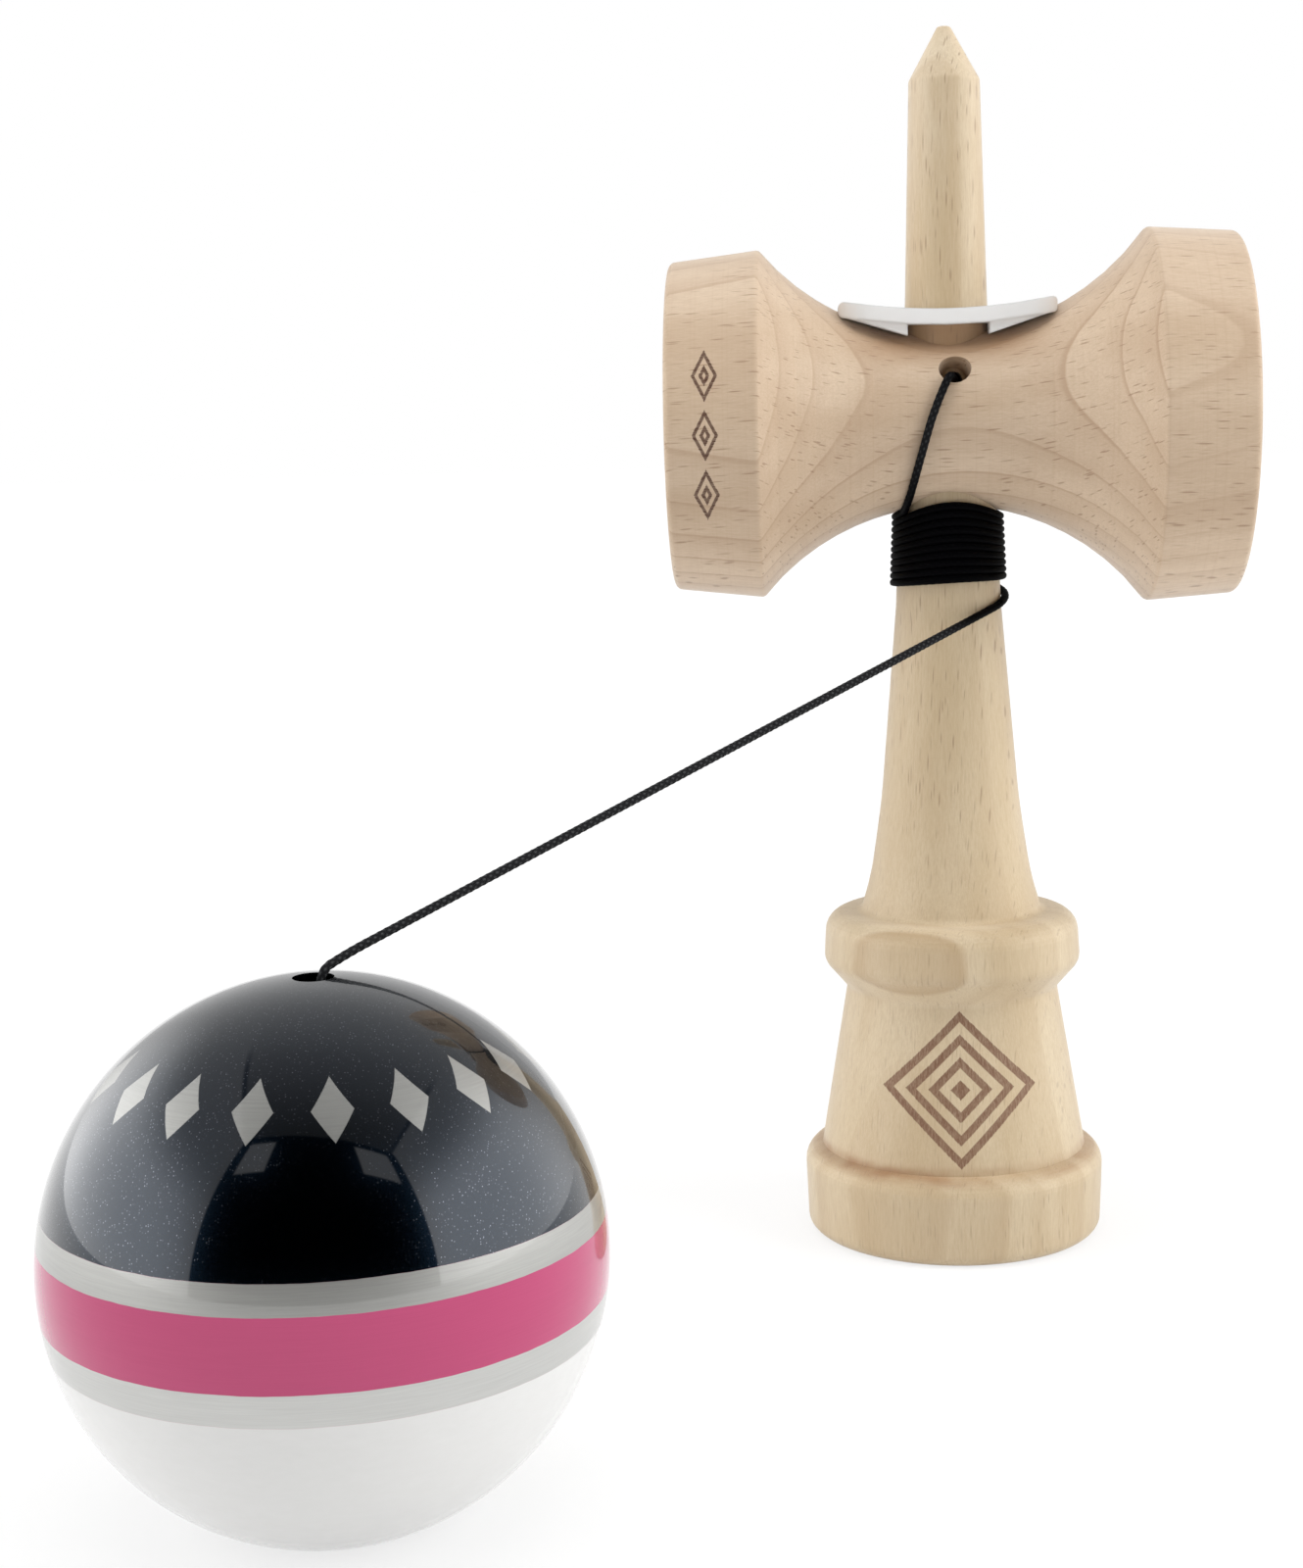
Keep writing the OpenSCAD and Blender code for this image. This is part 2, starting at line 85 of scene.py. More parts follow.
# The winding: turns that touch, arched at front and back, most of all under the barrel's saddle
WIND_TURNS, WIND_START = 10, math.radians(211)
WIND_PITCH, WIND_TOP, WIND_CLEAR, WIND_SWAY = 0.9, 100.44, 0.06, 0.15
TOP_ARCH, LOW_ARCH, SLACK_TURNS, STEPS_PER_TURN = 2.2, 0.25, 0.45, 60
LEAD_ON_WAIST = ((-0.15, 28), (-0.95, 20), (-1.75, 11), (-2.55, 1), (-3.2, -9), (-3.85, -20), (-4.5, -32),
                 (-5.05, -44), (-5.5, -55))
LEAD_CLEAR, LEAD_STEPS = 0.24, 12
# The bends before the ball: a wide dip, then over the lip of the hole
DIP, DIP_R, BEND_R, LIP_TURN, LIP_CLEAR = math.radians(19), 60.0, 1.8, math.radians(52), 0.35
# Inside the ball: straight down from the mouth, then over to the middle and straight into the bead
MOUTH_DROP, BEAD_ABOVE, BEAD_STRAIGHT = 3.0, 1.0, 2.0
SPAN_STEPS, BEND_STEPS, DROP_STEPS, END_STEPS = 120, 24, 16, 20


def stem_r(z):
    return (NECK_D + (SEAT_TOP_D - NECK_D) * (z - NECK_Z) / (SEAT_TOP_Z - NECK_Z)) / 2


def barrel_r(x):
    crease_x, crease_d = SMALL_CREASE if x < 0 else BIG_CREASE
    rise = (crease_d - WAIST_D) / 2
    arc = (crease_x ** 2 + rise ** 2) / (2 * rise)
    return WAIST_D / 2 + arc - math.sqrt(arc * arc - x * x)


def smooth(points, steps):
    """Points on a smooth curve through the given ones."""
    last, found = len(points) - 1, []
    for i in range(last):
        a, b, c, d = points[max(i - 1, 0)], points[i], points[i + 1], points[min(i + 2, last)]
        for k in range(steps):
            t = k / steps
            found.append((2 * b + (c - a) * t + (2 * a - 5 * b + 4 * c - d) * t * t
                          + (3 * b - a - 3 * c + d) * t ** 3) / 2)
    return found + [points[last]]


def straight(a, b, steps):
    return [a.lerp(b, i / steps) for i in range(1, steps + 1)]


def string_route():
    """The whole string as points, and the marks where its stretches meet."""
    coil_r = stem_r(LEAVE_Z) + STRING_R + LEAVE_CLEAR
    leave_a = math.atan2(BALL_AT[1], BALL_AT[0]) + math.acos(coil_r / math.hypot(*BALL_AT))
    leave = Vector((coil_r * math.cos(leave_a), coil_r * math.sin(leave_a), LEAVE_Z))
    to_ball = Vector((BALL_AT[0] - leave.x, BALL_AT[1] - leave.y, 0))
    reach, out = to_ball.length, to_ball.normalized()
    turns = (WIND_START - leave_a) / math.tau + WIND_TURNS

    def level(t):
        a = WIND_START - math.tau * t
        arch = TOP_ARCH + (LOW_ARCH - TOP_ARCH) * t / turns
        return WIND_TOP - WIND_PITCH * (t - WIND_SWAY * math.cos(a)) + arch * math.sin(a) ** 2

    def winding(t):
        a = WIND_START - math.tau * t
        slack = max(0, (t - turns + SLACK_TURNS) / SLACK_TURNS)
        z = level(t) - (level(turns) - LEAVE_Z) * slack * slack
        r = stem_r(z) + STRING_R + WIND_CLEAR + (LEAVE_CLEAR - WIND_CLEAR) * slack
        return Vector((r * math.cos(a), r * math.sin(a), z))

    def on_waist(x, up):
        r = barrel_r(x) + STRING_R + LEAD_CLEAR
        return Vector((x, -r * math.cos(math.radians(up)), BARREL_Z + r * math.sin(math.radians(up))))

    steps = round(turns * STEPS_PER_TURN)
    wound = [winding(turns * i / steps) for i in range(steps + 1)]
    lead = [Vector((STRING_HOLE_X, y, STRING_HOLE_Z)) for y in (STEM_END_Y, -stem_r(STRING_HOLE_Z))]
    lead.append(Vector((STRING_HOLE_X / 2, HOLE_BEND_Y, STRING_HOLE_Z + STRING_HOLE_X / 2)))
    lead += [on_waist(*q) for q in LEAD_ON_WAIST] + [wound[0], wound[2]]
    # The curve ends on the winding's first points, which are then taken from the winding itself
    points = smooth(lead, LEAD_STEPS)[:-LEAD_STEPS - 1] + wound
    wind_from = wound[0]

    lip_s, lip_z = reach - BALL_HOLE_R, BALL_Z + math.sqrt(BALL_R ** 2 - BALL_HOLE_R ** 2)
    inner = BEND_R - STRING_R - LIP_CLEAR
    bend_c = Vector((lip_s - inner * math.cos(LIP_TURN), lip_z - inner * math.sin(LIP_TURN)))
    dip_c = bend_c - (DIP_R - BEND_R) * Vector((math.sin(DIP), math.cos(DIP)))
    far = dip_c - Vector((0, LEAVE_Z))
    fall = -math.atan2(far.y, far.x) - math.asin(DIP_R / far.length)

    def bend(centre, r, a):
        q = centre + r * Vector((math.sin(a), math.cos(a)))
        return Vector((leave.x, leave.y, 0)) + q.x * out + Vector((0, 0, q.y))

    heading = math.cos(fall) * out - Vector((0, 0, math.sin(fall)))
    points += straight(leave, bend(dip_c, DIP_R, fall), SPAN_STEPS)
    points += [bend(dip_c, DIP_R, fall + (DIP - fall) * i / BEND_STEPS) for i in range(1, BEND_STEPS)]
    points += [bend(bend_c, BEND_R, DIP + (math.pi / 2 - DIP) * i / BEND_STEPS)
               for i in range(BEND_STEPS + 1)]
    mouth = points[-1].copy()
    middle = Vector((*BALL_AT, 0))
    above = middle + Vector((0, 0, BEAD_Z + BEAD_R + BEAD_ABOVE))
    drop = [mouth, mouth - Vector((0, 0, MOUTH_DROP)), above + Vector((0, 0, BEAD_STRAIGHT)), above]
    points += smooth(drop, DROP_STEPS)[1:]
    points += straight(above, middle + Vector((0, 0, END_KNOT_TOP)), END_STEPS)
    return points, wind_from, leave, heading, mouth


def evenly(points, spacing):
    """The route again in even steps: the distance along it, and the point."""
    along = [0.0]
    for a, b in zip(points, points[1:]):
        along.append(along[-1] + (b - a).length)
    count, found, k = math.ceil(along[-1] / spacing), [], 0
    for i in range(count + 1):
        at = along[-1] * i / count
        while k < len(along) - 2 and along[k + 1] < at:
            k += 1
        gap = along[k + 1] - along[k]
        found.append((at, points[k].lerp(points[k + 1], (at - along[k]) / gap if gap else 0)))
    return found


def nearest_along(route, point):
    return min(route, key=lambda q: (q[1] - point).length_squared)[0]


# The braid: strands cross on a lattice of diamonds, so the surface swells at each crossing
BRAID_SIDES, BRAID_STRANDS, BRAID_LENGTH, BRAID_SWELL, BRAID_CROWN = 16, 4, 1.0, 0.12, 0.7
RING_STEP = 0.16
# Packed turns are pressed smooth; the free string is fuller, and drawn thinner towards the ball
WOUND_SWELL, FREE_FULL, BALL_FULL, DRAWN_OVER = 0.05, 0.24, 0.12, 90.0
# How far before the neck the winding loosens, and over what length
LOOSE_BEFORE, LOOSE_OVER = 12, 6


def pressed(at, middle, marks):
    """How much fuller and wider than the plain round the string is there, and how far its braid swells."""
    wind_at, leave_at, mouth_at = marks
    near = min(max(min(at - wind_at, leave_at - LOOSE_BEFORE - at) / LOOSE_OVER, 0), 1)
    arch = (TOP_ARCH - LOW_ARCH) / WIND_TURNS * middle.y ** 2 / (middle.x ** 2 + middle.y ** 2)
    drawn = min(max((at - mouth_at) / DRAWN_OVER + 1, 0), 1)
    full = FREE_FULL + (BALL_FULL - FREE_FULL) * drawn
    return (1 + full * (1 - near), 1 + near * ((WIND_PITCH + arch) / STRING_D - 1 + WOUND_SWELL),
            BRAID_SWELL + (WOUND_SWELL - BRAID_SWELL) * near)


def braid(name, route, marks, material):
    """A braided tube along part of the route, closed at both ends."""
    mesh = bpy.data.meshes.new(name)
    build = bmesh.new()
    dirs = [(route[min(i + 1, len(route) - 1)][1] - route[max(i - 1, 0)][1]).normalized()
            for i in range(len(route))]
    side = dirs[0].orthogonal().normalized()
    rings, crowns = [], []
    for (at, middle), along in zip(route, dirs):
        side = (side - along * side.dot(along)).normalized()
        across = along.cross(side)
        (fuller, wider, swell), ring = pressed(at, middle, marks), []
        for k in range(BRAID_SIDES):
            turn = k / BRAID_SIDES
            a, b = BRAID_STRANDS * turn + at / BRAID_LENGTH, BRAID_STRANDS * turn - at / BRAID_LENGTH
            crown = abs(math.sin(math.pi * a) * math.sin(math.pi * b))
            r = STRING_R * fuller * (1 - swell * (1 - crown ** BRAID_CROWN))
            crowns.append(crown)
            spoke = side * math.cos(math.tau * turn) + across * math.sin(math.tau * turn)
            spoke.z *= wider
            ring.append(build.verts.new((middle + spoke * r) * MM))
        rings.append(ring)
    for low, high in zip(rings, rings[1:]):
        for k in range(BRAID_SIDES):
            m = (k + 1) % BRAID_SIDES
            build.faces.new((low[k], low[m], high[m], high[k]))
    build.faces.new(rings[0][::-1])
    build.faces.new(rings[-1])
    for face in build.faces:
        face.smooth = len(face.verts) == 4
    build.to_mesh(mesh)
    build.free()
    mesh.attributes.new("crown", "FLOAT", "POINT").data.foreach_set("value", crowns)
    mesh.materials.append(material)
    piece = bpy.data.objects.new(name, mesh)
    scene.collection.objects.link(piece)
    return piece


# Turns of a knot, points on them, the string's share of its size, and how far its ends narrow
KNOT_TURNS, KNOT_STEPS, KNOT_THICK, KNOT_ENDS = 3, 108, 0.36, 0.72


def stopper_knot(name, centre, axis, size, material):
    """A stopper knot: the string's end wound round itself and pulled tight."""
    axis = Vector(axis).normalized()
    side = axis.orthogonal().normalized()
    across = axis.cross(side)
    thick = size * KNOT_THICK
    coil_r = (size - thick) / 2
    height = size - thick
    points = []
    for i in range(KNOT_STEPS + 1):
        t = i / KNOT_STEPS
        a = math.tau * KNOT_TURNS * t
        swell = coil_r * (KNOT_ENDS + (1 - KNOT_ENDS) * math.sin(math.pi * t))
        points.append(Vector(centre) + axis * height * (t - 0.5)
                      + (side * math.cos(a) + across * math.sin(a)) * swell)
    curve = bpy.data.curves.new(name, "CURVE")
    curve.dimensions, curve.bevel_depth, curve.bevel_resolution = "3D", thick / 2 * MM, 5
    curve.use_fill_caps = True
    spline = curve.splines.new("POLY")
    spline.points.add(len(points) - 1)
    for q, p in zip(spline.points, points):
        q.co = (*(p * MM), 1)
    coil = bpy.data.objects.new(name + "_line", curve)
    mesh = bpy.data.meshes.new_from_object(coil)
    mesh.name = name
    bpy.data.objects.remove(coil)
    bpy.data.curves.remove(curve)
    mesh.shade_smooth()
    mesh.materials.clear()
    mesh.materials.append(material)
    piece = bpy.data.objects.new(name, mesh)
    scene.collection.objects.link(piece)
    return piece


# Node helpers

def give(tree, socket, value):
    """Links a socket to another one, or sets it. Colours are given as three numbers."""
    if isinstance(value, bpy.types.NodeSocket):
        tree.links.new(value, socket)
    elif socket.type == "RGBA":
        socket.default_value = (*value, 1)
    else:
        socket.default_value = value


def put(tree, kind, inputs=None, **settings):
    """A shader node with its settings and inputs."""
    node = tree.nodes.new("ShaderNode" + kind)
    for key, value in settings.items():
        setattr(node, key, value)
    for key, value in (inputs or {}).items():
        give(tree, node.inputs[key], value)
    return node


def calc(tree, operation, *values, clamp=False):
    return put(tree, "Math", dict(enumerate(values)), operation=operation, use_clamp=clamp).outputs[0]


def chain(tree, operation, first, *others):
    """One operation over all the values."""
    for other in others:
        first = calc(tree, operation, first, other)
    return first


def times(tree, *values):
    return chain(tree, "MULTIPLY", *values)


def plus(tree, *values):
    return chain(tree, "ADD", *values)


def most(tree, *values):
    return chain(tree, "MAXIMUM", *values)


def minus(tree, first, second):
    return calc(tree, "SUBTRACT", first, second)


def size_of(tree, value):
    return calc(tree, "ABSOLUTE", value)


def weigh(tree, first, first_share, second, second_share):
    """Two values, each times its share, added up."""
    return plus(tree, times(tree, first, first_share), times(tree, second, second_share))


def step(tree, value, low, high, to_low=0.0, to_high=1.0):
    """A soft step of a value between two limits."""
    return put(tree, "MapRange", {"Value": value, "From Min": low, "From Max": high,
                                  "To Min": to_low, "To Max": to_high},
               interpolation_type="SMOOTHSTEP").outputs[0]


def fade(tree, value, low, high, full=1.0):
    """A soft step down to nothing."""
    return step(tree, value, low, high, full, 0.0)


def between(tree, value, rise, fall, full=1.0):
    """A share that rises over one pair of limits and falls over another."""
    return times(tree, step(tree, value, *rise), fade(tree, value, *fall, full))


def vec(tree, operation, *values):
    node = put(tree, "VectorMath", dict(enumerate(values)), operation=operation)
    return node.outputs["Value" if operation in ("LENGTH", "DOT_PRODUCT", "DISTANCE") else "Vector"]


def split(tree, place):
    return put(tree, "SeparateXYZ", {0: place}).outputs


def join(tree, x, y, z):
    return put(tree, "CombineXYZ", {0: x, 1: y, 2: z}).outputs[0]


def noise(tree, place, scale, detail=3.0, rough=0.55):
    """Soft noise, with one scale or one for each axis."""
    place = vec(tree, "MULTIPLY", place, scale if isinstance(scale, tuple) else (scale,) * 3)
    return put(tree, "TexNoise", {"Vector": place, "Scale": 1.0, "Detail": detail,
                                  "Roughness": rough}).outputs["Fac"]


def tint(tree, share, first, second):
    """A colour mixed from two by a share."""
    return put(tree, "Mix", {0: share, 6: first, 7: second}, data_type="RGBA").outputs[2]


def lozenge_reach(tree, along, width, up, height):
    """From 0 in the middle of a lozenge to 1 on its edge."""
    return plus(tree, calc(tree, "DIVIDE", size_of(tree, along), width),
                calc(tree, "DIVIDE", size_of(tree, up), height))


def feed(tree, node, **inputs):
    """Gives a node its inputs by name, with _ for a space."""
    for key, value in inputs.items():
        give(tree, node.inputs[key.replace("_", " ")], value)
    return node.outputs


def use(tree, group, **inputs):
    node = tree.nodes.new("ShaderNodeGroup")
    node.node_tree = group
    return feed(tree, node, **inputs)


def new_group(name, inputs, outputs):
    """A shader node group, its inputs and its outputs. An input without a default is a place."""
    group = bpy.data.node_groups.new(name, "ShaderNodeTree")
    for label, value in inputs.items():
        kind = "NodeSocketVector" if value is None else "NodeSocketFloat"
        socket = group.interface.new_socket(name=label, in_out="INPUT", socket_type=kind)
        if value is not None:
            socket.default_value = value
    for label in outputs:
        group.interface.new_socket(name=label, in_out="OUTPUT", socket_type="NodeSocketFloat")
    return group, group.nodes.new("NodeGroupInput").outputs, group.nodes.new("NodeGroupOutput").inputs


def new_material(name):
    """A material, its node tree, its shader, and the place on the piece in millimetres."""
    material = bpy.data.materials.new(name)
    material.use_nodes = True
    tree = material.node_tree
    shader = tree.nodes["Principled BSDF"]
    place = put(tree, "TexCoord").outputs["Object"]
    return material, tree, shader, vec(tree, "MULTIPLY", place, (1 / MM,) * 3)


# Beech: rings, ray flecks and fine grain. Place is (across the rays, along the rays, along the grain) in mm

# Layers of ray flecks: cells to the millimetre each way, a shift, and the share that stays empty
FLECK_LAYERS = (((2.0, 0.45, 0.14), 0.0, 0.10), ((2.6, 0.4, 0.21), 17.0, 0.20),
                ((1.8, 0.6, 0.17), 41.0, 0.25))


def make_beech_figure():
    group, given, made = new_group(
        "beech_figure",
        {"Place": None, "Ring width": 3.6, "Ring shift": 0.0, "Pith far": 90.0, "Band seed": 0.0,
         "Late side": 1.0, "Late share": 0.35, "Line share": 0.65, "Edge": 0.965},
        ("Ring", "Band", "Fleck", "Grain", "Tone", "Height"))
    place = given["Place"]
    across, ray, _ = split(group, place)
    # Rings: curved layers round a far pith, a little wavy along the grain, some darker than others
    sway = times(group, minus(group, noise(group, place, (0.035, 0.035, 0.012), 2.0), 0.5), 2.4)
    depth = vec(group, "LENGTH", join(group, across, plus(group, ray, given["Pith far"]), 0.0))
    layer = plus(group, minus(group, plus(group, depth, sway), given["Pith far"]), given["Ring shift"])
    layer = calc(group, "DIVIDE", layer, given["Ring width"])
    count = plus(group, times(group, calc(group, "FLOOR", layer), 2.4), given["Band seed"])
    band = calc(group, "MULTIPLY_ADD", calc(group, "SINE", count), 0.5, 0.5)
    # Each ring darkens towards one side, and has a thin line there that comes and goes
    part = minus(group, calc(group, "FRACT", layer), 0.5)
    part = calc(group, "MULTIPLY_ADD", part, given["Late side"], 0.5)
    late = between(group, part, (0.35, 0.96), (given["Edge"], 1.0))
    line = between(group, part, (0.86, 0.95), (0.965, 0.995))
    clear = step(group, noise(group, place, (0.06, 0.06, 0.02), 1.0), 0.3, 0.65, 0.35, 1.0)
    ring = plus(group, times(group, late, given["Late share"]),
                times(group, line, given["Line share"], clear))
    # Ray flecks: thin spindles seen end on from the front
    flecks = 0.0
    for size, shift, empty in FLECK_LAYERS:
        at = vec(group, "ADD", vec(group, "MULTIPLY", place, size), (shift,) * 3)
        cell = put(group, "TexVoronoi", {"Vector": at, "Scale": 1.0}).outputs
        strong = step(group, split(group, cell["Color"])[0], empty, 0.8)
        flecks = most(group, flecks, times(group, fade(group, cell["Distance"], 0.08, 0.25), strong))
    # Fine grain: short streaks along the wood, and pores
    streak = noise(group, place, (4.5, 4.5, 0.28), 4.0, 0.6)
    pores = noise(group, place, (11.0, 11.0, 1.1), 2.0, 0.5)
    fine = weigh(group, streak, 0.6, pores, 0.4)
    broad = noise(group, place, (0.11, 0.11, 0.022), 3.0, 0.5)
    height = plus(group, weigh(group, fine, 0.5, flecks, -0.6), times(group, line, -0.12))
    grain, tone = step(group, fine, 0.32, 0.68), step(group, broad, 0.3, 0.7)
    for label, value in (("Ring", ring), ("Band", band), ("Fleck", flecks), ("Grain", grain), ("Tone", tone),
                         ("Height", height)):
        give(group, made[label], value)
    return group


# Burnt ornament: lozenges of equal bands, one inside the other, with edges that follow the grain

def make_burnt_lozenge():
    group, given, made = new_group(
        "burnt_lozenge",
        {"Along": 0.0, "Up": 0.0, "Width": 3.0, "Height": 5.0, "Line": 0.6, "Grain": 0.5}, ("Burn",))
    reach = lozenge_reach(group, given["Along"], given["Width"], given["Up"], given["Height"])
    inside = times(group, minus(group, 1.0, reach), given["Width"])
    edge = plus(group, inside, times(group, minus(group, given["Grain"], 0.5), 0.12))
    part = calc(group, "FRACT", calc(group, "DIVIDE", edge, times(group, given["Line"], 2.0)))
    burn = times(group, step(group, edge, -0.03, 0.07), between(group, part, (0.0, 0.06), (0.47, 0.53)))
    depth = plus(group, 0.70, times(group, given["Grain"], 0.35))
    give(group, made["Burn"], calc(group, "MULTIPLY", burn, depth, clamp=True))
    return group


beech_figure = make_beech_figure()
burnt_lozenge = make_burnt_lozenge()
PALE_BURN, DARK_BURN = (0.19, 0.088, 0.045), (0.085, 0.034, 0.02)
# Brown for painted shade and for the barrel's faint tool rings, and the brown of the ray flecks
SHADE_AND_MARK_BROWN, FLECK_BROWN = (0.35, 0.185, 0.08), (0.27, 0.155, 0.085)


def finish_beech(tree, shader, figure, burn, shade_and_marks, burnt, pale, dark, late, grain, rings, bands, flecks,
                 shine):
    """Puts the figure's masks together into bare sanded beech."""
    colour = tint(tree, figure["Tone"], dark, pale)
    for mask, share in (("Grain", grain), ("Ring", rings), ("Band", bands)):
        colour = tint(tree, times(tree, figure[mask], share), colour, late)
    # Painted shade in brown, and on the barrel also faint rings from the turning tool
    colour = tint(tree, shade_and_marks, colour, SHADE_AND_MARK_BROWN)
    colour = tint(tree, times(tree, figure["Fleck"], flecks), colour, FLECK_BROWN)
    colour = tint(tree, burn, colour, burnt)
    rough = plus(tree, 0.46, times(tree, figure["Grain"], 0.12))
    rough = calc(tree, "ADD", rough, times(tree, burn, 0.15), clamp=True)
    height = plus(tree, figure["Height"], times(tree, burn, -1.2))
    bump = put(tree, "Bump", {"Strength": 0.35, "Distance": 0.00012, "Height": height})
    feed(tree, shader, Base_Color=colour, Roughness=rough, Normal=bump.outputs[0], Specular_IOR_Level=shine,
         Sheen_Weight=0.32, Sheen_Roughness=0.4)


# Limits between which the handle's look changes, from its base up
ANGLE_RISE_Z, ANGLE_FALL_Z, FLANGE_TOP_Z = (10.6, 12.1), (12.2, 13.8), (11.5, 12.8)
COLLAR_RISE_Z, COLLAR_FALL_Z, GRIP_Z = (33.0, 36.0), (46.0, 50.0), (48.0, 66.0)
SPIKE_PAINTED_LIGHT_Z, SPIKE_RING_Z = (88.0, 118.0), (100.0, 118.0)
CLIP_RISE_Z, CLIP_FALL_Z = (119.0, 122.0), (125.7, 126.7)
# The burnt mark's middle, and how far back it goes
HANDLE_MARK_X, HANDLE_MARK_Z, HANDLE_MARK_BACK = 0.3, 23.7, (-4.0, -2.0)
# From where the rings lean and how much, and how far along the rays the collar's front lies
LEAN_FROM_Z, LEAN_SLOPE, COLLAR_FRONT = 42.0, 0.0214, (12.5, 15.5)


def make_handle_beech():
    material, tree, shader, place = new_material("handle_beech")
    x, y, z = split(tree, place)
    # The rays run to the front, a little to the left, so the rings lie open on the collar there.
    # Above it the rings lean inwards, and each is darkest on its outer side
    turn = math.radians(25)
    lean = times(tree, most(tree, minus(tree, z, LEAN_FROM_Z), 0.0), LEAN_SLOPE)
    ray = plus(tree, weigh(tree, x, -math.sin(turn), y, -math.cos(turn)), lean)
    across = weigh(tree, x, math.cos(turn), y, -math.sin(turn))
    figure = use(tree, beech_figure, Place=join(tree, across, ray, z), Ring_width=3.5, Ring_shift=-2.0,
                 Pith_far=75.0, Band_seed=4.54, Late_side=-1.0, Late_share=0.9, Line_share=0.1, Edge=0.84)
    mark = use(tree, burnt_lozenge, Along=minus(tree, x, HANDLE_MARK_X), Up=minus(tree, z, HANDLE_MARK_Z),
               Width=10.4, Height=10.6, Line=1.5, Grain=figure["Grain"])["Burn"]
    burn = times(tree, mark, fade(tree, y, *HANDLE_MARK_BACK))
    # Painted shade in brown: in the angle over the flange, here more and there less, and on the stem where
    # the clip sits over it
    crease_shade_patches = step(tree, noise(tree, place, (0.12, 0.12, 0.3), 2.0), 0.35, 0.7, 0.2, 0.9)
    shade_and_marks = most(tree, times(tree, between(tree, z, ANGLE_RISE_Z, ANGLE_FALL_Z), crease_shade_patches),
                  between(tree, z, CLIP_RISE_Z, CLIP_FALL_Z, 0.75))
    # Rings show most on the collar's front, less on the flange and the spike; flecks on the grip and above
    collar = times(tree, between(tree, z, COLLAR_RISE_Z, COLLAR_FALL_Z, 0.62),
                   step(tree, ray, *COLLAR_FRONT, 0.22, 1.0))
    rings = plus(tree, collar, fade(tree, z, *FLANGE_TOP_Z, 0.24), step(tree, z, *SPIKE_RING_Z, 0.0, 0.14),
                 0.14)
    # The spike is painted paler and less yellow: painted light for the whiter light on its sides
    finish_beech(tree, shader, figure, burn, shade_and_marks, burnt=PALE_BURN,
                 pale=tint(tree, step(tree, z, *SPIKE_PAINTED_LIGHT_Z), (0.70, 0.582, 0.40), (0.72, 0.608, 0.445)),
                 dark=(0.60, 0.475, 0.297), late=(0.45, 0.31, 0.165), grain=0.38, rings=rings, bands=0.13,
                 flecks=step(tree, z, *GRIP_Z, 0.28, 0.60), shine=0.85)
    return material


# Middles of the three lozenges on the small cup's band, how far back they go, and the band's inside,
# where they end
BAND_MARKS_X, BAND_MARKS_UP, BAND_MARKS_BACK = -31.9, (-8.7, -1.1, 6.5), (-10.0, -8.0)
BAND_INSIDE_R = (21.0, 22.0)
# How much the rings lean, and limits of the painted shade under the clip and in the string hole, and of the
# look on the big cup
BARREL_LEAN, RIGHT_LEAN = 0.035, 0.0036
UNDER_CLIP_UP, UNDER_CLIP_OFF = (5.8, 11.0), (5.0, 17.0)
HOLE_INSIDE_R, HOLE_INSIDE_OFF, BIG_BAND_X = (10.4, 11.3), (3.0, 4.0), (25.6, 27.6)


def make_barrel_beech():
    material, tree, shader, place = new_material("barrel_beech")
    x, y, z = split(tree, place)
    height = minus(tree, z, BARREL_Z)
    radius = vec(tree, "LENGTH", join(tree, 0.0, y, height))
    # The rays run to the front and up, and the rings lean a little along the barrel, more to the right
    turn = math.radians(22)
    right = put(tree, "Clamp", {"Value": x, "Min": 0.0, "Max": BIG_CREASE[0]}).outputs[0]
    lean = weigh(tree, x, BARREL_LEAN, times(tree, right, right), RIGHT_LEAN)
    ray = minus(tree, weigh(tree, height, math.sin(turn), y, -math.cos(turn)), lean)
    across = weigh(tree, height, math.cos(turn), y, math.sin(turn))
    figure = use(tree, beech_figure, Place=join(tree, across, ray, x), Ring_width=3.6, Ring_shift=0.65,
                 Pith_far=160.0, Band_seed=1.0)
    burn = 0.0
    for up in BAND_MARKS_UP:
        mark = use(tree, burnt_lozenge, Along=minus(tree, x, BAND_MARKS_X), Up=minus(tree, height, up),
                   Width=1.75, Height=3.35, Line=0.5, Grain=figure["Grain"])["Burn"]
        burn = most(tree, burn, mark)
    burn = times(tree, burn, fade(tree, y, *BAND_MARKS_BACK), step(tree, radius, *BAND_INSIDE_R))
    # Painted shade in brown under the clip and inside the string hole, and faint rings from the turning tool
    off = size_of(tree, x)
    under_clip_shade = times(tree, step(tree, height, *UNDER_CLIP_UP), fade(tree, off, *UNDER_CLIP_OFF, 0.8))
    # Painted shade inside the string hole
    inside = times(tree, fade(tree, radius, *HOLE_INSIDE_R, 0.3), fade(tree, off, *HOLE_INSIDE_OFF))
    tool = step(tree, noise(tree, join(tree, x, 0.0, 0.0), 1.7, 3.0, 0.7), 0.45, 0.8, 0.0, 0.16)
    # The rings are fainter on the big cup's band
    finish_beech(tree, shader, figure, burn, most(tree, under_clip_shade, inside, tool), burnt=DARK_BURN,
                 pale=(0.69, 0.55, 0.405), dark=(0.585, 0.445, 0.31), late=(0.41, 0.27, 0.17), grain=0.30,
                 rings=step(tree, x, *BIG_BAND_X, 0.62, 0.34), bands=0.12, flecks=0.60, shine=0.45)
    return material


